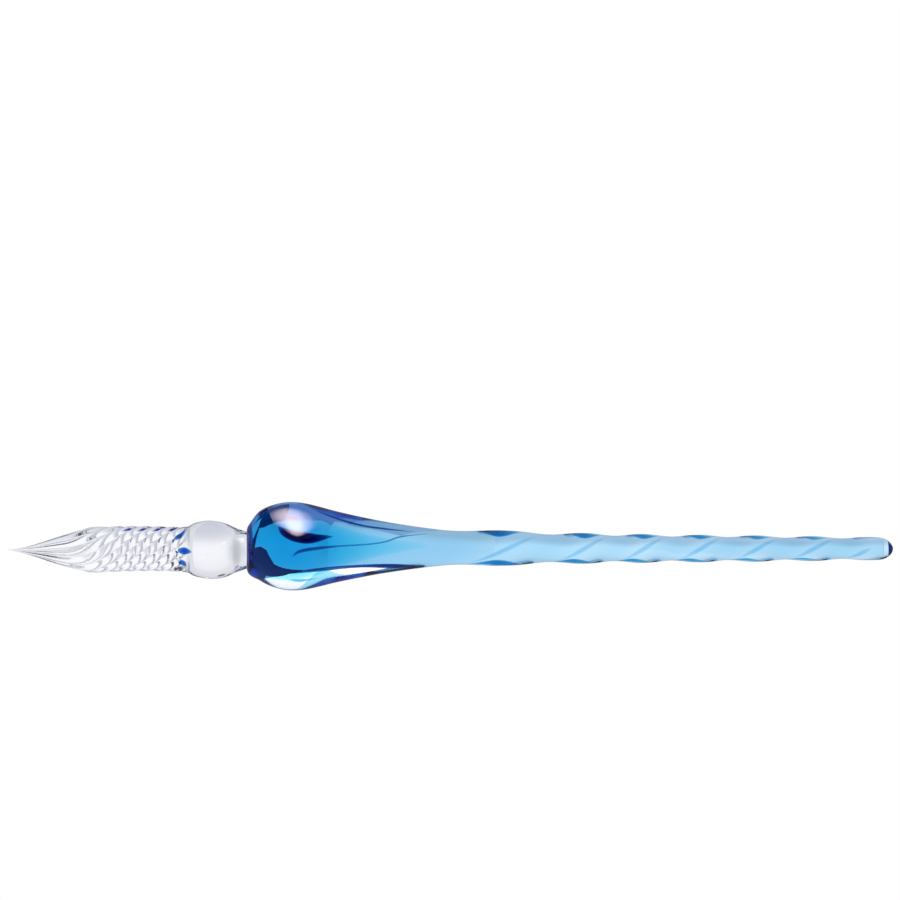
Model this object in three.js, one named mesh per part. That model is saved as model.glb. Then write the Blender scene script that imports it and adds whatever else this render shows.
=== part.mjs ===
// Flame-worked glass dip pen, lying at rest. Millimetres, +Z up.
//
// The pen is solid glass made hot from four gathers, fused end to end: a clear fluted nib drawn to a point,
// a clear knop, a blue grip bulb and a blue twisted stem. Nothing on it moves.
//
// Each gather is shaped in the pen's own frame, where +X runs from the needle tip to the butt and a station is
// the distance from the tip. The angle round the pen starts at +Y and grows towards +Z. The finished pen is
// then laid down, so that the bulb and the butt touch the ground at Z = 0.

import * as THREE from 'three';

// Driving dimensions: stations along the pen.
const PEN_LENGTH = 175;
const KNOP_START = 35.6;
const BULB_START = 46.8;
const STEM_START = 88;
const FUSION_GAP = 0.3; // kept open between neighbouring gathers

// The nib: a ribbed rod, straight in the cone and twisted behind it.
const NIB_OUTLINE = [[0, 0.15], [1.6, 0.3], [4.7, 1.07], [9.5, 2.7], [12.7, 3.65], [15.2, 4.33], [17.5, 4.53],
  [33, 4.43], [KNOP_START, 4.72]];
const FLUTE_COUNT = 10;
const FLUTE_DEPTH = 0.17; // share of the radius
const FLUTE_FADE = [32.5, 35.2]; // stations between which the flutes melt into the knop
const FLUTE_TWIST = { start: 10.7, ramp: 11.9, pitch: 2.77 * FLUTE_COUNT }; // pitch: one full turn
const FIRST_CREST = THREE.MathUtils.degToRad(24.5);
const NIB_SWAY = { size: 0.2, centre: 17.3, wave: 36 };

// The knop: a drop that leans a little off the axis between two stations.
const KNOP_OUTLINE = [[KNOP_START, 4.72], [36.8, 5.32], [39.6, 5.76], [42.3, 5.4], [44.7, 4.4],
  [BULB_START, 3.65]];
const KNOP_LEAN = 0.14;
const KNOP_LEAN_SPAN = [38, 43];

// The handle: grip bulb and stem share one outline, so that the surface runs on across the join.
const HANDLE_OUTLINE = [[BULB_START, 3.7], [47.15, 4.75], [48.6, 6.29], [50.6, 7.57], [53.2, 8.46],
  [55.8, 8.76], [59.3, 8.36], [65.6, 6.8], [73.6, 5.24], [81.5, 4.35], [92.5, 3.74], [106.8, 3.2],
  [125, 2.87], [148, 2.62], [172.4, 2.28]];
const BUTT_LENGTH = 2.6; // the fire-rounded end
const LOBE_TWIST = { start: 61.7, ramp: 59.3, pitch: 22.54 };
const LOBE_GROWTH = [55, 72]; // stations between which the round bulb turns into two lobes
const LOBE_FLATNESS = 0.15; // share of the radius
const BOW = { size: 0.75, start: 47, full: 49.5, decay: 40 };

// Facets. An ease above 1 crowds the rings towards the front end, where the outline turns faster.
const NIB_MESH = { rings: 44, sides: 4 * FLUTE_COUNT, ease: 1.15 };
const KNOP_MESH = { rings: 14, sides: 36, ease: 1 };
const BULB_MESH = { rings: 28, sides: 38, ease: 1.35 }; // puts a facet, not a corner, on the ground
const STEM_MESH = { rings: 64, sides: 24, ease: 1 };
const OUTLINE_SAMPLES = 40; // for each point of an outline
const SETTLING_STEPS = 6;
const BUTT_RINGS = 5;

const CLEAR_GLASS = { color: 0xe9eef2, roughness: 0.02, metalness: 0 };
const BLUE_GLASS = { color: 0x2f8fd6, roughness: 0.02, metalness: 0 };

const { smoothstep } = THREE.MathUtils;

// The angle, in radians, that a rod has turned by at a station: nothing before the start, then a rate that
// grows evenly over the ramp until it reaches one turn per pitch. Both twists are left-handed.
function turned(station, { start, ramp, pitch }) {
  const past = Math.max(station - start, 0);
  const length = past < ramp ? past * past / (2 * ramp) : past - ramp / 2;
  return 2 * Math.PI * length / pitch;
}

// A smooth outline through its [station, radius] points, cut to the given stations.
function outlineRadius(points) {
  const curve = new THREE.SplineCurve(points.map(([station, radius]) => new THREE.Vector2(station, radius)));
  const samples = curve.getPoints(OUTLINE_SAMPLES * points.length);
  return (station) => {
    const next = samples.findIndex((sample) => sample.x > station);
    if (next < 1) return (next === 0 ? samples[0] : samples.at(-1)).y;
    const [low, high] = [samples[next - 1], samples[next]];
    return THREE.MathUtils.mapLinear(station, low.x, high.x, low.y, high.y);
  };
}

// A solid of revolution about X between two stations, closed on the axis at both ends.
function turnedBlank(radiusAt, stations, sides) {
  const profile = stations.map((station) => new THREE.Vector2(radiusAt(station), station));
  profile.unshift(new THREE.Vector2(0, stations[0]));
  if (profile.at(-1).x > 0) profile.push(new THREE.Vector2(0, stations.at(-1)));
  return new THREE.LatheGeometry(profile, sides).rotateZ(-Math.PI / 2);
}

// Stations from one end to the other.
function spread(from, to, { rings, ease }) {
  return Array.from({ length: rings + 1 }, (_, ring) => from + (to - from) * (ring / rings) ** ease);
}

// Works each point of a blank hot: the section scales its radius by the angle round the untwisted rod, the
// twist turns it about the axis, and the offset shifts the whole section along +Y.
function workHot(blank, { section, twist, offset }) {
  const points = blank.getAttribute('position');
  for (let index = 0; index < points.count; index += 1) {
    const station = points.getX(index);
    const around = Math.atan2(points.getZ(index), points.getY(index));
    const radius = Math.hypot(points.getY(index), points.getZ(index)) * section(station, around);
    const angle = around - twist(station);
    points.setY(index, radius * Math.cos(angle) + offset(station));
    points.setZ(index, radius * Math.sin(angle));
  }
  blank.computeVertexNormals();
  return blank;
}

function glass(name, geometry, finish) {
  const mesh = new THREE.Mesh(geometry, new THREE.MeshStandardMaterial(finish));
  mesh.name = name;
  return mesh;
}

// Round ridges with a sharp valley between each two, which hold the ink.
function nibSection(station, around) {
  const ridge = Math.abs(Math.cos(FLUTE_COUNT * (around - FIRST_CREST) / 2));
  const depth = FLUTE_DEPTH * (1 - smoothstep(station, ...FLUTE_FADE));
  return 1 - depth * (1 - ridge);
}

function nibOffset(station) {
  return NIB_SWAY.size * Math.sin(2 * Math.PI * (station - NIB_SWAY.centre) / NIB_SWAY.wave);
}

function makeNib() {
  const stations = spread(0, KNOP_START - FUSION_GAP / 2, NIB_MESH);
  const blank = turnedBlank(outlineRadius(NIB_OUTLINE), stations, NIB_MESH.sides);
  const shape = { section: nibSection, twist: (station) => turned(station, FLUTE_TWIST), offset: nibOffset };
  return glass('nib', workHot(blank, shape), CLEAR_GLASS);
}

function makeKnop() {
  const stations = spread(KNOP_START + FUSION_GAP / 2, BULB_START - FUSION_GAP / 2, KNOP_MESH);
  const blank = turnedBlank(outlineRadius(KNOP_OUTLINE), stations, KNOP_MESH.sides);
  const lean = (station) => -KNOP_LEAN * smoothstep(station, ...KNOP_LEAN_SPAN);
  return glass('knop', workHot(blank, { section: () => 1, twist: () => 0, offset: lean }), CLEAR_GLASS);
}

const handleRadius = outlineRadius(HANDLE_OUTLINE);

// Two lobes, one towards +Y and one towards -Y before the twist, with a flat side between them.
function handleSection(station, around) {
  return 1 - smoothstep(station, ...LOBE_GROWTH) * LOBE_FLATNESS * Math.sin(around) ** 2;
}

// The bow that the hand-drawn glass kept: off the axis at the bulb, dying away along the stem.
function handleOffset(station) {
  return BOW.size * smoothstep(station, BOW.start, BOW.full) * Math.exp((BOW.full - station) / BOW.decay);
}

const HANDLE_SHAPE = {
  section: handleSection,
  twist: (station) => turned(station, LOBE_TWIST),
  offset: handleOffset,
};

function makeGripBulb() {
  const stations = spread(BULB_START + FUSION_GAP / 2, STEM_START - FUSION_GAP / 2, BULB_MESH);
  const blank = turnedBlank(handleRadius, stations, BULB_MESH.sides);
  return glass('grip_bulb', workHot(blank, HANDLE_SHAPE), BLUE_GLASS);
}

function makeTwistedStem() {
  const buttStart = PEN_LENGTH - BUTT_LENGTH;
  const buttRadius = handleRadius(buttStart);
  const radiusAt = (station) => {
    const intoButt = Math.max(station - buttStart, 0) / BUTT_LENGTH;
    return intoButt > 0 ? buttRadius * Math.sqrt(Math.max(1 - intoButt ** 2, 0)) : handleRadius(station);
  };
  const stations = spread(STEM_START + FUSION_GAP / 2, buttStart, STEM_MESH);
  for (let ring = 1; ring < BUTT_RINGS; ring += 1) {
    stations.push(buttStart + BUTT_LENGTH * Math.sin(Math.PI / 2 * ring / BUTT_RINGS));
  }
  stations.push(PEN_LENGTH);
  const blank = turnedBlank(radiusAt, stations, STEM_MESH.sides);
  return glass('twisted_stem', workHot(blank, HANDLE_SHAPE), BLUE_GLASS);
}

// The lowest point of a mesh in a group turned about Y by an angle.
function lowestPoint(mesh, tilt) {
  const turn = new THREE.Matrix4().makeRotationY(tilt);
  const points = mesh.geometry.getAttribute('position');
  const lowest = new THREE.Vector3(0, 0, Infinity);
  const point = new THREE.Vector3();
  for (let index = 0; index < points.count; index += 1) {
    point.fromBufferAttribute(points, index).applyMatrix4(turn);
    if (point.z < lowest.z) lowest.copy(point);
  }
  return lowest;
}

// The tilt at which the bulb and the butt both touch the ground.
function restingTilt(bulb, stem) {
  let tilt = 0;
  for (let step = 0; step < SETTLING_STEPS; step += 1) {
    const underBulb = lowestPoint(bulb, tilt);
    const underStem = lowestPoint(stem, tilt);
    tilt += Math.atan2(underStem.z - underBulb.z, underStem.x - underBulb.x);
  }
  return tilt;
}

const gripBulb = makeGripBulb();
const twistedStem = makeTwistedStem();
const pen = new THREE.Group();
pen.add(makeNib(), makeKnop(), gripBulb, twistedStem);
pen.rotation.y = restingTilt(gripBulb, twistedStem);

// The origin is the middle of the pen's box, on the ground.
pen.updateMatrixWorld(true);
const box = new THREE.Box3().setFromObject(pen, true);
const middle = box.getCenter(new THREE.Vector3());
pen.position.set(-middle.x, -middle.y, -box.min.z);
pen.updateMatrixWorld(true);

const model = new THREE.Group();
model.add(pen);

export default model;
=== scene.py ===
"""Looks of the flame-worked glass dip pen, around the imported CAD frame.

Each gather of glass is shaped in the pen's own frame, where +X runs from the needle tip to the butt and a
station is the distance from the tip. The angle round the pen starts at +Y and grows towards +Z. Shapes are
worked out in millimetres, and their meshes are in metres. The pen is then laid down where the CAD pen lies.
"""

import math

import bpy
import numpy as np
from mathutils import Matrix, Vector


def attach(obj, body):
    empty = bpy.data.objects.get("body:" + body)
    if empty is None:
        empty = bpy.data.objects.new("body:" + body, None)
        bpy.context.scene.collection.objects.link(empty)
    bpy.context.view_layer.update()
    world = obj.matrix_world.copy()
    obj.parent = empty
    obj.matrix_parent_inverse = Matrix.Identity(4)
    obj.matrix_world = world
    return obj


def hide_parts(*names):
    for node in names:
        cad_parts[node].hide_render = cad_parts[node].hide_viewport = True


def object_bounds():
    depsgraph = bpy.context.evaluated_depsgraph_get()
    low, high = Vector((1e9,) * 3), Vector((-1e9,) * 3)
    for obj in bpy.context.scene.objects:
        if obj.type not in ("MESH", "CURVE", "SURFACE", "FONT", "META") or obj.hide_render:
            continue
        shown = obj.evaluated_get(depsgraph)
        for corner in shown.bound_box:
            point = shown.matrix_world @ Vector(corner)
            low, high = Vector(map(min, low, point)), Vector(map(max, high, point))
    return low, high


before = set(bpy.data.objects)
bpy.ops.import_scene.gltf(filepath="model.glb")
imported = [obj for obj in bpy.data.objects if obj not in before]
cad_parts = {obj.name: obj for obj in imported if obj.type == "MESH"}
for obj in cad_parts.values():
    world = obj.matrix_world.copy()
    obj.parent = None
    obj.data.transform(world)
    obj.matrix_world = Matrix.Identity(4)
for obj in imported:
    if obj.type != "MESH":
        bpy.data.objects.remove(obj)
cad_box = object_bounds()

MM = 0.001

# Stations along the pen, in millimetres.
PEN_LENGTH = 175
KNOP_START = 35.6
BULB_START = 46.8
BUTT_LENGTH = 2.6
BUTT_START = PEN_LENGTH - BUTT_LENGTH
FUSION_OVERLAP = 0.03  # two fused gathers share this much, so that light runs on from one to the other
BOX_MARGIN = 0.02  # by which the fine surface is smaller than the box of the faceted solids

NIB_OUTLINE = [(0, 0.15), (1.6, 0.3), (4.7, 1.07), (9.5, 2.7), (12.7, 3.65), (15.2, 4.33), (17.5, 4.53),
               (33, 4.43), (KNOP_START, 4.72)]
FLUTE_COUNT = 10
FLUTE_DEPTH = 0.17
FLUTE_FADE = (32.5, 35.2)
FLUTE_TWIST = {"start": 10.7, "ramp": 11.9, "pitch": 2.77 * FLUTE_COUNT}
FIRST_CREST = math.radians(24.5)
NIB_SWAY = {"size": 0.2, "centre": 17.3, "wave": 36}

KNOP_OUTLINE = [(KNOP_START, 4.72), (36.8, 5.32), (39.6, 5.76), (42.3, 5.4), (44.7, 4.4), (BULB_START, 3.65)]
KNOP_LEAN = 0.14
KNOP_LEAN_SPAN = (38, 43)

HANDLE_OUTLINE = [(BULB_START, 3.7), (47.15, 4.75), (48.6, 6.29), (50.6, 7.57), (53.2, 8.46), (55.8, 8.76),
                  (59.3, 8.36), (65.6, 6.8), (73.6, 5.24), (81.5, 4.35), (92.5, 3.74), (106.8, 3.2),
                  (125, 2.87), (148, 2.62), (BUTT_START, 2.28)]
LOBE_TWIST = {"start": 61.7, "ramp": 59.3, "pitch": 22.54}
LOBE_GROWTH = (55, 72)
LOBE_FLATNESS = 0.15  # share of the radius
BOW = {"size": 0.75, "start": 47, "full": 49.5, "decay": 40}

# Fineness of the meshes.
NIB_RINGS, SIDES_PER_FLUTE = 400, 18
KNOP_RINGS = 120
SHOULDER_END, SHOULDER_RINGS = 60, 120  # the bulb's front, as far as this station
LENGTH_RINGS, BUTT_RINGS = 620, 28
ROUND_SIDES, CORE_SIDES, BUTT_TINT_SIDES, CORD_SIDES = 128, 64, 48, 16
SETTLING_STEPS = 6

# Dark cords of painted dark refraction in the bulb, where the dark surroundings show through the glass; a
# crescent of painted shadow, the bulb's contact shadow seen through the glass; a blue spot (the blot) of
# painted dark refraction in the bulb's bright side; a seed (bubble) in the bulb and one in the knop; and
# painted blue refractions in and near the knop, where the blue handle shows through the clear glass.
# Each is a list of (station, height, half width) points, where the height is the distance towards +Y from
# the line through the tip along +X.
DARK_REFRACTIONS_AND_BUBBLE = {
    # Painted dark refraction: dark lines where the dark surroundings show through the bulb.
    "dark_refraction_upper": [(58.4, 8.0, 0.05), (63.3, 6.3, 0.3), (68.8, 4.85, 0.32), (73.6, 4.15, 0.28),
                     (80.3, 3.4, 0.03)],
    "dark_refraction_middle": [(55.4, -1.4, 0.05), (57, -0.2, 0.35), (60.7, 0.4, 0.35), (65.3, 0.8, 0.2),
                      (70.6, 1.1, 0.18), (74, 1.6, 0.18), (77.3, 2.6, 0.18), (84.2, 3.3, 0.03)],
    # A seed (bubble) in the bulb.
    "streak_seed": [(63.9, -0.2, 0.02), (64.1, -0.2, 0.14), (64.3, -0.2, 0.02)],
    # Painted dark refraction, as above.
    "dark_refraction_lower": [(54, -4.5, 0.05), (56, -4.2, 0.3), (61.5, -3.7, 0.45),
                     (68.8, -3.2, 0.4), (76, -3.1, 0.6), (81.5, -3.0, 0.03)],
    # Painted shadow: the bulb's contact shadow, seen through the glass.
    "painted_shadow_crescent": [(52.9, 4.7, 0.1), (54.1, 3.5, 0.85), (56.5, 2.6, 1.15), (59.5, 2.3, 1.0),
                        (63.8, 2.7, 0.05)],
}
# Painted dark refraction: a spot where dark surroundings show through the bulb's bright side.
DARK_REFRACTION_BLOT = [(54.5, -5.4, 0.05), (57, -5.7, 0.45), (61, -5.3, 0.05)]
BLUE_REFRACTIONS_AND_BUBBLE = {
    # Painted blue refraction: the blue handle seen through the clear nib and knop.
    "blue_refraction_1": [(32.1, 1.7, 0.1), (33.6, 2.7, 0.55), (35.0, 3.8, 0.1)],
    "blue_refraction_2": [(33.3, -0.1, 0.35), (34.6, -0.2, 0.75), (36.2, -0.4, 0.05)],
    # A seed (bubble) in the knop.
    "seed_knop": [(39.0, -0.8, 0.02), (39.15, -0.8, 0.12), (39.3, -0.8, 0.02)],
    # Painted blue refraction, as above.
    "blue_refraction_3": [(33.7, -1.9, 0.2), (34.3, -2.5, 0.6), (35.0, -3.2, 0.1)],
}
STREAK_RINGS = 90
THINNEST_STREAK = 0.02
LOWEST_STREAK = 0.1  # over the axis

# Glints: small marks along the nib. Creases: bands along the stem's flat sides, which reach a number of half
# turns either side of the top. Lenses: spindles in the stem's lobes, whose thickness and distance from the
# axis are shares of the radius. All three stand for darker refractions, not for bodies in the glass.
GLINTS = {"count": 4, "first": 23.6, "spacing": 2.95, "half_long": 1.4, "heights": (3.6, 4.0, 4.15),
          "half_wide": 0.4, "end_half_wide": 0.05}
CREASES = {"count": 7, "front": 84, "end": 171, "samples": 2400, "every": 4, "reach": 0.42, "sunk": 0.25,
           "half_wide": 0.5, "fullness": 0.3, "taper": 0.05}
LENSES = {
    "far": {"side": 1, "half_long": 3.0, "thick": 0.19, "back": 0.0, "first_back": 2.0},
    "near": {"side": -1, "half_long": 3.9, "thick": 0.17, "back": 2.3, "first_back": 2.3},
}
LENS_COUNT = 6
LENS_STATIONS = 2000  # tried along the handle, to find each half turn
LENS_EXTRA_LENGTH = 0.55  # share by which the first lens is longer; the others have less and less of it
LENS_THINNING = 0.06  # share of the thickness lost from each lens to the next
LENS_MIDDLE, LENS_END = 0.67, 0.78  # distances from the axis
LENS_END_HALF_WIDE = 0.03
# Hearts of deeper blue in the handle: first station, last station and share of the radius.
BULB_CORE, COLLAR, STEM_CORE = (47.6, 84, 0.54), (46.95, 49.2, 0.94), (125, 173, 0.6)
BUTT_TINT = {"front": 1.15, "end": 0.15, "radius": 2.0, "rings": 12}  # front and end count from the butt
CORE_RINGS = 160
LEAST_FULLNESS = 0.01

# Light that the glass takes up, per metre of red, green and blue.
CLEAR_ABSORPTION = (12, 11, 9)
BLUE_ABSORPTION = (150, 58, 15)
INNER_ABSORPTION = {
    # Painted dark refraction and painted shadow in the bulb, and one bubble.
    "dark_refraction_and_bubble": (8000, 5000, 2600),
    # Painted blue refraction near the knop, and one bubble.
    "blue_refraction_and_bubble": (7000, 3600, 1000),
    "glint": (4300, 3900, 1700),
    # Lenses and the blot are painted dark refraction.
    "lens": (4200, 1250, 500),
    "crease": (1900, 850, 280),
    "core": (260, 26, 16),
    "collar": (900, 650, 300),
    "stem_core": (130, 60, 28),
    "butt": (1300, 950, 330),
}

GLASS_IOR = 1.5
INNER_IOR = 1.0  # a tinted body inside the glass bends no light
DENSITY_SHARE = 1.25  # density over the strongest absorption, which keeps the volume's colour above 0

# TENT is what light through the glass meets, and ROOM is what reflections meet. Both run from straight down
# (0) over the horizon (0.5) to straight up (1). A patch of the tent has the way it lies, the angles at which
# it starts and stops to fade, and its light.
TENT = [(0.0, (1.1, 1.1, 1.12)), (0.05, (1.02, 1.02, 1.05)), (0.12, (0.9, 0.9, 0.94)),
        (0.5, (0.84, 0.84, 0.88)), (0.62, (0.75, 0.75, 0.8)), (1.0, (0.7, 0.7, 0.74))]
PATCHES = [
    ((0.0, -0.66, -0.75), 0, 38, (0.72, 0.75, 0.84)),
    ((-0.75, 0.0, -0.66), 10, 32, (0.52, 0.54, 0.6)),
    ((-0.28, 0.8, -0.53), 4, 8, (0.1, 0.1, 0.1)),
]
ROOM = [(0.0, (0.24, 0.26, 0.36)), (0.5, (0.24, 0.26, 0.36)), (0.62, (0.22, 0.24, 0.32)),
        (1.0, (0.08, 0.08, 0.11))]

# ---------------------------------------------------------------- shaping the glass

def smoothstep(value, low, high):
    share = np.clip((value - low) / (high - low), 0, 1)
    return share * share * (3 - 2 * share)


def turned(station, start, ramp, pitch):
    """The angle that a rod has turned by at a station: an even ramp up to one turn per pitch."""
    past = np.maximum(station - start, 0)
    length = np.where(past < ramp, past * past / (2 * ramp), past - ramp / 2)
    return 2 * math.pi * length / pitch


def outline_radius(points, steps=60):
    """A smooth outline through (station, radius) points, as a function of the station."""
    p = np.array([points[0], *points, points[-1]], dtype=float)
    samples = []
    for index in range(len(points) - 1):
        before, low, high, after = p[index : index + 4]
        t = np.linspace(0, 1, steps, endpoint=False)[:, None]
        pull_low, pull_high = (high - before) / 2, (after - low) / 2
        samples.append(
            (2 * low - 2 * high + pull_low + pull_high) * t**3
            + (3 * high - 3 * low - 2 * pull_low - pull_high) * t**2
            + pull_low * t
            + low
        )
    curve = np.vstack([*samples, p[-1:]])
    return lambda station: np.interp(station, curve[:, 0], curve[:, 1])


def closed_tube(name, rings, poles, flat_ends):
    """A closed mesh through rings of points, capped by a fan to a pole at each end."""
    points = np.vstack([rings.reshape(-1, 3), poles]) * MM
    count, sides = rings.shape[:2]
    faces = []
    for ring in range(count - 1):
        for side in range(sides):
            beside = (side + 1) % sides
            low, high = ring * sides, (ring + 1) * sides
            faces.append((low + side, low + beside, high + beside, high + side))
    first_pole, last_pole = count * sides, count * sides + 1
    last = (count - 1) * sides
    for side in range(sides):
        beside = (side + 1) % sides
        faces.append((beside, side, first_pole))
        faces.append((last + side, last + beside, last_pole))
    mesh = bpy.data.meshes.new(name)
    mesh.from_pydata([tuple(p) for p in points], [], faces)
    smooth = np.ones(len(faces), dtype=bool)
    smooth[-2 * sides :: 2] = not flat_ends[0]
    smooth[-2 * sides + 1 :: 2] = not flat_ends[1]
    mesh.polygons.foreach_set("use_smooth", smooth)
    mesh.update()
    piece = bpy.data.objects.new(name, mesh)
    bpy.context.scene.collection.objects.link(piece)
    return piece


def worked_rod(name, stations, sides, radius_at, section, twist, offset, flat_ends=(True, True)):
    """A closed solid of glass: a turned blank whose section, twist and offset vary along it."""
    stations = np.asarray(stations, dtype=float)
    s, around = np.meshgrid(stations, 2 * math.pi * np.arange(sides) / sides, indexing="ij")
    radius = radius_at(s) * section(s, around)
    angle = around - twist(s)
    rings = np.stack([s, radius * np.cos(angle) + offset(s), radius * np.sin(angle)], axis=-1)
    poles = [(end, float(offset(end)), 0.0) for end in (stations[0], stations[-1])]
    return closed_tube(name, rings, poles, flat_ends)


def round_section(station, around):
    return np.ones_like(station)


def no_twist(station):
    return 0 * station


def handle_twist(station):
    return turned(station, **LOBE_TWIST)


def nib_section(station, around):
    ridge = np.abs(np.cos(FLUTE_COUNT * (around - FIRST_CREST) / 2))
    depth = FLUTE_DEPTH * (1 - smoothstep(station, *FLUTE_FADE))
    return 1 - depth * (1 - ridge)


def nib_offset(station):
    return NIB_SWAY["size"] * np.sin(2 * math.pi * (station - NIB_SWAY["centre"]) / NIB_SWAY["wave"])


def make_nib():
    stations = np.linspace(0, KNOP_START + FUSION_OVERLAP / 2, NIB_RINGS)
    return worked_rod("nib_glass", stations, SIDES_PER_FLUTE * FLUTE_COUNT, outline_radius(NIB_OUTLINE),
                      nib_section, lambda s: turned(s, **FLUTE_TWIST), nib_offset, flat_ends=(False, True))


def knop_offset(station):
    return -KNOP_LEAN * smoothstep(station, *KNOP_LEAN_SPAN)


def make_knop():
    stations = np.linspace(KNOP_START - FUSION_OVERLAP / 2, BULB_START + FUSION_OVERLAP / 2, KNOP_RINGS)
    return worked_rod("knop_glass", stations, ROUND_SIDES, outline_radius(KNOP_OUTLINE), round_section,
                      no_twist, knop_offset)


def handle_section(station, around):
    return 1 - smoothstep(station, *LOBE_GROWTH) * LOBE_FLATNESS * np.sin(around) ** 2


def handle_offset(station):
    rise = smoothstep(station, BOW["start"], BOW["full"])
    return BOW["size"] * rise * np.exp((BOW["full"] - station) / BOW["decay"])


def make_handle():
    """Bulb and stem in one, because no surface parts them in the glass."""
    rod = outline_radius(HANDLE_OUTLINE)

    def radius_at(station):
        into_butt = np.clip((station - BUTT_START) / BUTT_LENGTH, 0, 1)
        return rod(np.minimum(station, BUTT_START)) * np.sqrt(1 - into_butt**2)

    front = BULB_START - FUSION_OVERLAP / 2
    shoulder = np.linspace(front, SHOULDER_END, SHOULDER_RINGS, endpoint=False)
    length = np.linspace(SHOULDER_END, BUTT_START, LENGTH_RINGS, endpoint=False)
    butt = BUTT_START + BUTT_LENGTH * np.sin(np.linspace(0, math.pi / 2, BUTT_RINGS, endpoint=False))
    stations = np.concatenate([shoulder, length, butt])
    return worked_rod("handle_glass", stations, ROUND_SIDES, radius_at, handle_section, handle_twist,
                      handle_offset, flat_ends=(True, False))


def cord(name, centre, outwards, half_wide, fullness):
    """A closed cord along a path. The fullness is its thickness outwards as a share of its width."""
    along = np.gradient(centre, axis=0)
    along /= np.linalg.norm(along, axis=1)[:, None]
    outwards = outwards - (outwards * along).sum(axis=1)[:, None] * along
    outwards /= np.linalg.norm(outwards, axis=1)[:, None]
    across = np.cross(outwards, along)
    turn = 2 * math.pi * np.arange(CORD_SIDES) / CORD_SIDES
    rings = (
        centre[:, None]
        + across[:, None] * (half_wide[:, None] * np.cos(turn))[:, :, None]
        + outwards[:, None] * (fullness * half_wide[:, None] * np.sin(turn))[:, :, None]
    )
    return closed_tube(name, rings, centre[[0, -1]], (False, False))


def make_streak(name, points, outline, offset, fullness=0.5, depth=0.9):
    """A tapering cord in the upper half of the pen, at a depth that is a share of the radius."""
    stations, heights, widths = np.array(points, dtype=float).T
    steps = np.linspace(stations[0], stations[-1], STREAK_RINGS)
    height = outline_radius(list(zip(stations, heights)))(steps)
    half_wide = np.maximum(outline_radius(list(zip(stations, widths)))(steps), THINNEST_STREAK)
    off_axis = height - offset(steps)
    level_squared = (depth * outline_radius(outline)(steps)) ** 2 - off_axis**2
    level = np.sqrt(np.maximum(level_squared, LOWEST_STREAK**2))
    centre = np.stack([steps, height, level], axis=-1)
    outwards = np.stack([np.zeros_like(steps), off_axis, level], axis=-1)
    return cord(name, centre, outwards, half_wide, fullness)


def make_creases():
    """A soft darker band along each flat side of the stem, where that side crosses the top."""
    creases = []
    stations = np.linspace(CREASES["front"], CREASES["end"], CREASES["samples"])
    half_turns = handle_twist(stations) / math.pi
    radius = outline_radius(HANDLE_OUTLINE)(stations) * (1 - LOBE_FLATNESS) - CREASES["sunk"]
    for index in range(1, CREASES["count"] + 1):
        past_top = half_turns - index
        part = np.flatnonzero(np.abs(past_top) < CREASES["reach"])[:: CREASES["every"]]
        angle = math.pi * (0.5 - past_top[part])
        outwards = np.stack([np.zeros(len(part)), np.cos(angle), np.sin(angle)], axis=-1)
        centre = radius[part, None] * outwards
        centre[:, 0] = stations[part]
        centre[:, 1] += handle_offset(stations[part])
        swell = np.sin(np.linspace(CREASES["taper"], math.pi - CREASES["taper"], len(part)))
        half_wide = CREASES["half_wide"] * swell
        creases.append(cord(f"crease_{index}", centre, outwards, half_wide, CREASES["fullness"]))
    return creases


def make_glints():
    """Small blue marks in the valleys along one side of the nib."""
    glints = []
    reach, end_half_wide = GLINTS["half_long"], GLINTS["end_half_wide"]
    for index in range(GLINTS["count"]):
        station = GLINTS["first"] + GLINTS["spacing"] * index
        front, middle, back = GLINTS["heights"]
        points = [(station - reach, front, end_half_wide), (station, middle, GLINTS["half_wide"]),
                  (station + reach, back, end_half_wide)]
        glints.append(make_streak(f"glint_{index + 1}", points, NIB_OUTLINE, nib_offset))
    return glints


def make_lens(name, index, station, side, half_long, thick, back, first_back):
    """A spindle level with the axis, which stands for the dark refraction in a lobe of the stem."""
    radius, centre = float(outline_radius(HANDLE_OUTLINE)(station)), float(handle_offset(station))
    reach = half_long * (1 + LENS_EXTRA_LENGTH * math.exp(1 - index))
    half_wide = thick * radius * (1 - LENS_THINNING * index)
    middle, end = centre + side * LENS_MIDDLE * radius, centre + side * LENS_END * radius
    place = station - (first_back if index == 1 else back)
    points = [(place - reach, end, LENS_END_HALF_WIDE), (place, middle, half_wide),
              (place + reach, end, LENS_END_HALF_WIDE)]
    return make_streak(name, points, HANDLE_OUTLINE, handle_offset, fullness=1.0, depth=0.0)


def make_lenses():
    """A lens in each of the two lobes at each half turn of the stem, thinner towards the butt."""
    stations = np.linspace(BULB_START, BUTT_START, LENS_STATIONS)
    half_turns = handle_twist(stations) / math.pi
    return [
        make_lens(f"lens_{lobe}_{index}", index, stations[np.searchsorted(half_turns, index)], **shape)
        for index in range(1, LENS_COUNT + 1)
        for lobe, shape in LENSES.items()
    ]


def make_core(name, front, end, share, fullness):
    """A heart of deeper blue: its radius is a share of the rod's, scaled by the fullness on the way along."""
    stations = np.linspace(front, end, CORE_RINGS)
    rod = outline_radius(HANDLE_OUTLINE)

    def radius_at(station):
        along = (station - front) / (end - front)
        return share * rod(station) * np.maximum(fullness(along), LEAST_FULLNESS)

    return worked_rod(name, stations, CORE_SIDES, radius_at, round_section, no_twist, handle_offset)


def make_butt_tint():
    """The dark end of the butt, where the blue is seen along its length."""
    stations = PEN_LENGTH - np.linspace(BUTT_TINT["front"], BUTT_TINT["end"], BUTT_TINT["rings"])

    def radius_at(station):
        into_butt = (station - PEN_LENGTH + BUTT_LENGTH) / BUTT_LENGTH
        return BUTT_TINT["radius"] * np.sqrt(1 - into_butt**2)

    return worked_rod("butt_tint", stations, BUTT_TINT_SIDES, radius_at, round_section, no_twist,
                      handle_offset)


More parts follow.
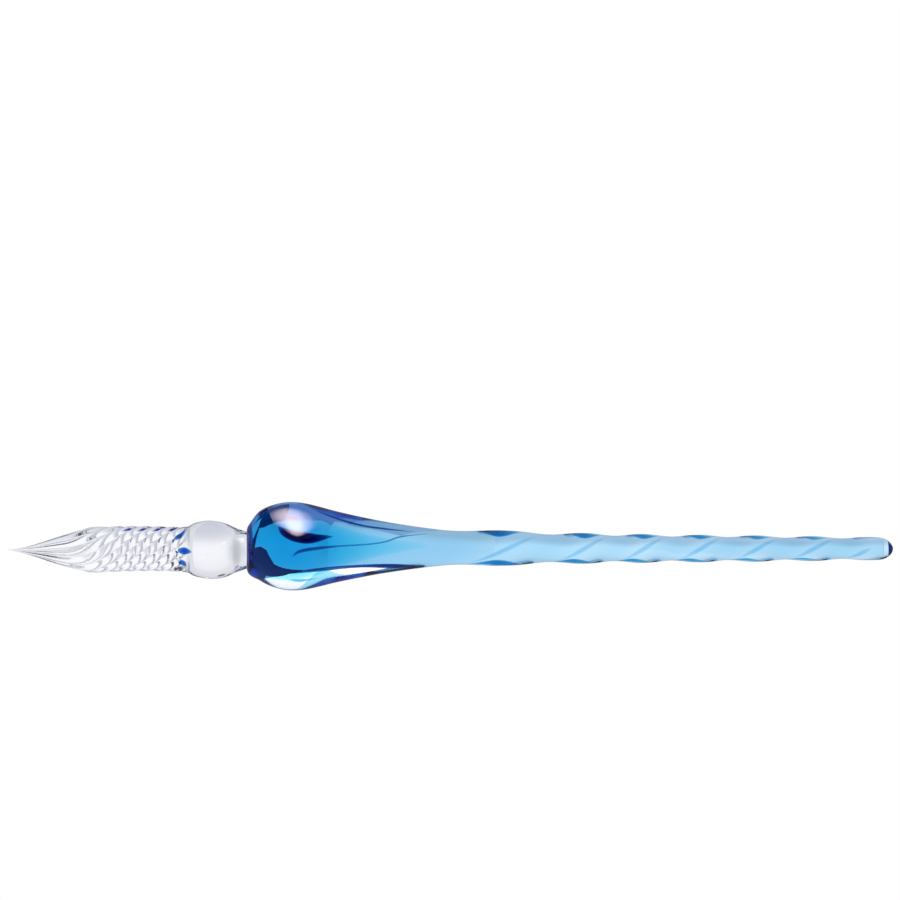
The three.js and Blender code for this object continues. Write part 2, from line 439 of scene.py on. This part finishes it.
def lay_down(pieces, handle):
    """Turns the pen about Y until bulb and butt touch the ground, and fits it into the CAD pen's box."""
    points = np.array([v.co for v in handle.data.vertices])
    bulb_side = points[:, 0] < 0.5 * PEN_LENGTH * MM
    tilt = 0.0
    for _ in range(SETTLING_STEPS):
        x = points[:, 0] * math.cos(tilt) + points[:, 2] * math.sin(tilt)
        z = points[:, 2] * math.cos(tilt) - points[:, 0] * math.sin(tilt)
        under_bulb = np.flatnonzero(bulb_side)[z[bulb_side].argmin()]
        under_butt = np.flatnonzero(~bulb_side)[z[~bulb_side].argmin()]
        tilt += math.atan2(z[under_butt] - z[under_bulb], x[under_butt] - x[under_bulb])
    turn = Matrix.Rotation(tilt, 4, "Y")
    for piece in pieces:
        piece.data.transform(turn)
    low, high = np.array(cad_box)
    points = np.vstack([np.array([v.co for v in piece.data.vertices]) for piece in pieces])
    fine_low, fine_high = points.min(axis=0), points.max(axis=0)
    fit = Matrix.Diagonal((*((high - low - BOX_MARGIN * MM) / (fine_high - fine_low)), 1))
    to_middle = Matrix.Translation(-(fine_low + fine_high) / 2)
    to_place = Matrix.Translation((low + high) / 2)
    for piece in pieces:
        piece.data.transform(to_place @ fit @ to_middle)


# ---------------------------------------------------------------- materials

def node(tree, kind, **inputs):
    made = tree.nodes.new(kind)
    for name, value in inputs.items():
        made.inputs[name.replace("_", " ")].default_value = value
    return made


def glass_material(name, absorbed_per_m, ior=GLASS_IOR):
    """Smooth solid glass that takes its colour from its thickness."""
    material = bpy.data.materials.new(name)
    material.use_nodes = True
    tree = material.node_tree
    tree.nodes.clear()
    output = tree.nodes.new("ShaderNodeOutputMaterial")
    shader = node(tree, "ShaderNodeBsdfPrincipled", Base_Color=(1, 1, 1, 1), Roughness=0.0, IOR=ior,
                  Transmission_Weight=1.0)
    tree.links.new(shader.outputs["BSDF"], output.inputs["Surface"])
    density = DENSITY_SHARE * max(absorbed_per_m)
    colour = [1 - absorbed / density for absorbed in absorbed_per_m]
    volume = node(tree, "ShaderNodeVolumeAbsorption", Color=(*colour, 1), Density=density)
    tree.links.new(volume.outputs["Volume"], output.inputs["Volume"])
    return material


# ---------------------------------------------------------------- studio

NAVY, MAUVE, PALE, BRIGHT = (0.02, 0.04, 0.13), (0.5, 0.42, 0.64), (1.03, 1.03, 1.06), (9, 2.6, 1.5)

# Lying cards under the table, in millimetres: the level of each layer, then the (x, y) corners and the light
# of each card. A flag is a darker card, and a fill or a window is a lighter one.
LYING_CARDS = {
    -6: {
        "flag_taper": ([(-25, -4), (-24, -3.5), (-20, -3.6), (-16, -3.2), (-11.5, -2.8), (-4, -9), (-4, -40),
                        (-25, -40)], (0.57, 0.6, 0.74)),
        "fill_taper": ([(-29.5, -4.8), (-27, -5), (-24, -3.5), (-20, -3.6), (-16, -3.2), (-11.5, -2.8),
                        (-4, -9), (-4, -40), (7, -40), (7, 40), (-12, 40), (-13, 12), (-18, 5), (-22, 3.4),
                        (-26, 2.2), (-29.5, 1.7)], PALE),
    },
    -25: {
        "flag_rim": ([(-18, -60), (0, -60), (0, 33), (-8, 33), (-18, 20)], NAVY),
        "flag_upper": ([(-32, -60), (-32, -16), (-35, -14), (-35, -11), (-28, -10.8), (-23, -9.5),
                        (-18, -10.2), (-18, -60)], NAVY),
        "flag_mauve": ([(-39.9, -60), (-39.9, -13.5), (-35, -11), (-35, -14), (-32, -16), (-32, -60)], MAUVE),
        "flag_lower": ([(-18, 0), (-23, -0.3), (-26, 1), (-27.5, 6.5), (-30, 7.5), (-36, 8.6), (-36, 9.5),
                        (-32, 11), (-24, 17), (-18, 20)], NAVY),
        "window_bulb": ([(-39.9, 11), (-36, 9.5), (-32, 11), (-24, 17), (-8, 33), (-8, 80), (-39.9, 80)],
                        BRIGHT),
    },
}
# Upright cards across the pen: x, top, lowest y, highest y and light. They all reach down to one level.
UPRIGHT_CARDS = {
    "fill_nib": (-40, 4.5, -60, 60, (0.86, 0.87, 0.91)),
    "flag_side": (-39.8, 4.5, -60, -13.5, MAUVE),
    "window_side": (-39.8, 4.5, 9, 60, (3, 2, 1.3)),
    "flag_butt_side": (-7, -6.5, -60, 33, NAVY),
}
UPRIGHT_FOOT = -25.2
FILL_SHADE = {"from_y": -1, "to_y": -6, "least": 0.74}
# Black cards along the pen that keep the window off the nib and the stem: left end, right end and y.
BLINDS = {"blind_nib": (-100, -37.2, 8.8), "blind_stem": (-19, 100, 8)}
BLIND_FOOT, BLIND_TOP = 8, 90

# The floor and the window, in metres.
FLOOR_REACH = 3
WINDOW = {"half_wide": 0.04, "half_high": 0.09, "place": (-0.021, 0.06, 0.055), "turn": math.radians(22),
          "light": (1.0, 0.84, 0.93), "strength": 20.0, "fade_from": 0.2}

# The camera, in metres, apart from its lens.
CAMERA_PLACE = (-0.00056, 0.01896)
CAMERA_AIM_HEIGHT = 0.008
WIDTH_IN_VIEW = 0.17754
LENS_LENGTH, SENSOR_WIDTH = 200, 36
NEAREST, FURTHEST = 0.01, 20
MOST_BOUNCES, MOST_REFLECTIONS = 32, 16


def card(name, corners, colour):
    """A flat card that gives off its own even light."""
    mesh = bpy.data.meshes.new(name)
    mesh.from_pydata(corners, [], [tuple(range(len(corners)))])
    made = bpy.data.objects.new(name, mesh)
    bpy.context.scene.collection.objects.link(made)
    material = bpy.data.materials.new(name)
    material.use_nodes = True
    tree = material.node_tree
    tree.nodes.clear()
    output = tree.nodes.new("ShaderNodeOutputMaterial")
    glow = node(tree, "ShaderNodeEmission", Color=(*colour, 1), Strength=1.0)
    tree.links.new(glow.outputs["Emission"], output.inputs["Surface"])
    mesh.materials.append(material)
    return made


def make_floor():
    """White all over, and clear to the light that passes the glass, as a light table is."""
    corners = [(x * FLOOR_REACH, y * FLOOR_REACH, 0) for x, y in ((-1, -1), (1, -1), (1, 1), (-1, 1))]
    floor = card("floor", corners, (1, 1, 1))
    floor.visible_transmission = False
    floor.visible_glossy = False


def shade_aside(tree):
    """Makes a lying card dimmer towards -Y."""
    place = tree.nodes.new("ShaderNodeTexCoord")
    parts = tree.nodes.new("ShaderNodeSeparateXYZ")
    dim = node(tree, "ShaderNodeMapRange", From_Min=FILL_SHADE["from_y"] * MM,
               From_Max=FILL_SHADE["to_y"] * MM, To_Min=1.0, To_Max=FILL_SHADE["least"])
    dim.interpolation_type = "SMOOTHSTEP"
    tree.links.new(place.outputs["Object"], parts.inputs["Vector"])
    tree.links.new(parts.outputs["Y"], dim.inputs["Value"])
    tree.links.new(dim.outputs["Result"], tree.nodes["Emission"].inputs["Strength"])


def upright_corners(low, high, foot, top):
    return [(low, foot), (high, foot), (high, top), (low, top)]


def make_cards():
    """Cards under the table and across the pen that only light through the glass meets."""
    cards = [
        card(name, [(x * MM, y * MM, level * MM) for x, y in corners], colour)
        for level, layer in LYING_CARDS.items()
        for name, (corners, colour) in layer.items()
    ]
    for name, (x, top, low, high, colour) in UPRIGHT_CARDS.items():
        corners = upright_corners(low, high, UPRIGHT_FOOT, top)
        cards.append(card(name, [(x * MM, y * MM, z * MM) for y, z in corners], colour))
    for made in cards:
        made.visible_camera = False
        made.visible_glossy = False
    shade_aside(bpy.data.objects["fill_taper"].data.materials[0].node_tree)


def make_blinds():
    """Seen only as reflections, in front of the window."""
    for name, (left, right, y) in BLINDS.items():
        corners = upright_corners(left, right, BLIND_FOOT, BLIND_TOP)
        blind = card(name, [(x * MM, y * MM, z * MM) for x, z in corners], (0, 0, 0))
        blind.visible_camera = False
        blind.visible_transmission = False


def make_window():
    """A softly edged window beyond the bulb, seen only as a reflection."""
    half_wide, half_high = WINDOW["half_wide"], WINDOW["half_high"]
    corners = [(x, 0, z) for x, z in upright_corners(-half_wide, half_wide, -half_high, half_high)]
    window = card("window", corners, WINDOW["light"])
    window.location = WINDOW["place"]
    window.rotation_euler = (0, WINDOW["turn"], 0)
    window.visible_camera = False
    window.visible_transmission = False
    tree = window.data.materials[0].node_tree
    place = tree.nodes.new("ShaderNodeTexCoord")
    stretch = tree.nodes.new("ShaderNodeMapping")
    stretch.inputs["Scale"].default_value = (1 / half_wide, 1, 1 / half_high)
    length = tree.nodes.new("ShaderNodeVectorMath")
    length.operation = "LENGTH"
    fade = node(tree, "ShaderNodeMapRange", From_Min=1.0, From_Max=WINDOW["fade_from"], To_Min=0.0,
                To_Max=WINDOW["strength"])
    fade.interpolation_type = "SMOOTHSTEP"
    clear = tree.nodes.new("ShaderNodeBsdfTransparent")
    glow = tree.nodes["Emission"]
    both = tree.nodes.new("ShaderNodeAddShader")
    tree.links.new(place.outputs["Object"], stretch.inputs["Vector"])
    tree.links.new(stretch.outputs["Vector"], length.inputs[0])
    tree.links.new(length.outputs["Value"], fade.inputs["Value"])
    tree.links.new(fade.outputs["Result"], glow.inputs["Strength"])
    tree.links.new(glow.outputs["Emission"], both.inputs[0])
    tree.links.new(clear.outputs["BSDF"], both.inputs[1])
    tree.links.new(both.outputs["Shader"], tree.nodes["Material Output"].inputs["Surface"])


def maths(tree, operation, *values):
    made = tree.nodes.new("ShaderNodeMath")
    made.operation = operation
    for socket, value in zip(made.inputs, values):
        if isinstance(value, bpy.types.NodeSocket):
            tree.links.new(value, socket)
        else:
            socket.default_value = value
    return made.outputs["Value"]


def height_ramp(tree, height, stops):
    ramp = tree.nodes.new("ShaderNodeValToRGB")
    ramp.color_ramp.interpolation = "EASE"
    tree.links.new(height, ramp.inputs["Fac"])
    elements = ramp.color_ramp.elements
    while len(elements) < len(stops):
        elements.new(0.5)
    for element, (place, colour) in zip(elements, stops):
        element.position = place
        element.color = (*colour, 1)
    return ramp.outputs["Color"]


def add_patch(tree, direction, light, towards, inner, outer, colour):
    dot = tree.nodes.new("ShaderNodeVectorMath")
    dot.operation = "DOT_PRODUCT"
    tree.links.new(direction, dot.inputs[0])
    dot.inputs[1].default_value = Vector(towards).normalized()
    edge = node(tree, "ShaderNodeMapRange", From_Min=math.cos(math.radians(outer)),
                From_Max=math.cos(math.radians(inner)))
    edge.interpolation_type = "SMOOTHSTEP"
    tree.links.new(dot.outputs["Value"], edge.inputs["Value"])
    blend = node(tree, "ShaderNodeMix")
    blend.data_type = "RGBA"
    tree.links.new(edge.outputs["Result"], blend.inputs[0])
    tree.links.new(light, blend.inputs[6])
    blend.inputs[7].default_value = (*colour, 1)
    return blend.outputs[2]


def make_world():
    """Light through the glass meets the tent with its patches, the camera white, and other rays the room."""
    world = bpy.data.worlds.new("studio")
    world.use_nodes = True
    tree = world.node_tree
    tree.nodes.clear()
    output = tree.nodes.new("ShaderNodeOutputWorld")
    direction = tree.nodes.new("ShaderNodeTexCoord").outputs["Generated"]
    parts = tree.nodes.new("ShaderNodeSeparateXYZ")
    tree.links.new(direction, parts.inputs["Vector"])
    height = maths(tree, "MULTIPLY_ADD", parts.outputs["Z"], 0.5, 0.5)
    path = tree.nodes.new("ShaderNodeLightPath")
    either = tree.nodes.new("ShaderNodeMixShader")
    tree.links.new(path.outputs["Is Transmission Ray"], either.inputs["Fac"])
    for socket, stops, patches in ((1, ROOM, []), (2, TENT, PATCHES)):
        light = height_ramp(tree, height, stops)
        for patch in patches:
            light = add_patch(tree, direction, light, *patch)
        background = node(tree, "ShaderNodeBackground", Strength=1.0)
        tree.links.new(light, background.inputs["Color"])
        tree.links.new(background.outputs["Background"], either.inputs[socket])
    seen = node(tree, "ShaderNodeBackground", Color=(1, 1, 1, 1), Strength=1.0)
    final = tree.nodes.new("ShaderNodeMixShader")
    tree.links.new(path.outputs["Is Camera Ray"], final.inputs["Fac"])
    tree.links.new(either.outputs["Shader"], final.inputs[1])
    tree.links.new(seen.outputs["Background"], final.inputs[2])
    tree.links.new(final.outputs["Shader"], output.inputs["Surface"])
    bpy.context.scene.world = world


def make_camera():
    """Straight above the pen, looking down."""
    data = bpy.data.cameras.new("camera")
    data.type = "PERSP"
    data.lens = LENS_LENGTH
    data.sensor_width = SENSOR_WIDTH
    camera = bpy.data.objects.new("camera", data)
    distance = WIDTH_IN_VIEW * data.lens / data.sensor_width
    camera.location = (*CAMERA_PLACE, CAMERA_AIM_HEIGHT + distance)
    data.clip_start, data.clip_end = NEAREST, FURTHEST
    bpy.context.scene.collection.objects.link(camera)
    bpy.context.scene.camera = camera


# ---------------------------------------------------------------- the pen

nib, knop, handle = make_nib(), make_knop(), make_handle()
# Painted dark refraction and painted shadow in the bulb, painted blue refraction near the knop, and two
# bubbles.
dark_refractions_and_bubble = [make_streak(name, points, HANDLE_OUTLINE, handle_offset) for name, points in DARK_REFRACTIONS_AND_BUBBLE.items()]
blue_refractions_and_bubble = [make_streak(name, points, [*NIB_OUTLINE[:-1], *KNOP_OUTLINE], nib_offset)
         for name, points in BLUE_REFRACTIONS_AND_BUBBLE.items()]
glints = make_glints()
dark_refraction_blot = make_streak("dark_refraction_blot", DARK_REFRACTION_BLOT, HANDLE_OUTLINE, handle_offset)
lenses, creases = make_lenses(), make_creases()
bulb_core = make_core("bulb_core", *BULB_CORE, lambda along: 1 - along**2)
collar = make_core("collar", *COLLAR, lambda along: np.sqrt(1 - along**2))
stem_core = make_core("stem_core", *STEM_CORE, np.sqrt)
butt_tint = make_butt_tint()
inner = {
    "dark_refraction_and_bubble": dark_refractions_and_bubble,
    "blue_refraction_and_bubble": blue_refractions_and_bubble,
    "glint": glints,
    "lens": [dark_refraction_blot, *lenses],
    "crease": creases,
    "core": [bulb_core],
    "collar": [collar],
    "stem_core": [stem_core],
    "butt": [butt_tint],
}
lay_down([nib, knop, handle, *(piece for pieces in inner.values() for piece in pieces)], handle)

clear_glass = glass_material("clear_glass_look", CLEAR_ABSORPTION)
blue_glass = glass_material("blue_glass_look", BLUE_ABSORPTION)
for piece, nodes, slot, material in (
    (nib, ["nib"], "clear_glass", clear_glass),
    (knop, ["knop"], "clear_glass", clear_glass),
    (handle, ["grip_bulb", "twisted_stem"], "blue_glass", blue_glass),
):
    piece.data.materials.append(material)
    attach(piece, "root")
    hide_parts(*nodes)

for kind, pieces in inner.items():
    material = glass_material(f"{kind}_glass_look", INNER_ABSORPTION[kind], ior=INNER_IOR)
    for piece in pieces:
        piece.data.materials.append(material)
        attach(piece, "root")

make_floor()
make_cards()
make_blinds()
make_window()
make_world()
make_camera()

scene = bpy.context.scene
scene.view_settings.view_transform = "Standard"
scene.cycles.max_bounces = MOST_BOUNCES
scene.cycles.transmission_bounces = MOST_BOUNCES
scene.cycles.glossy_bounces = MOST_REFLECTIONS
scene.cycles.use_denoising = True
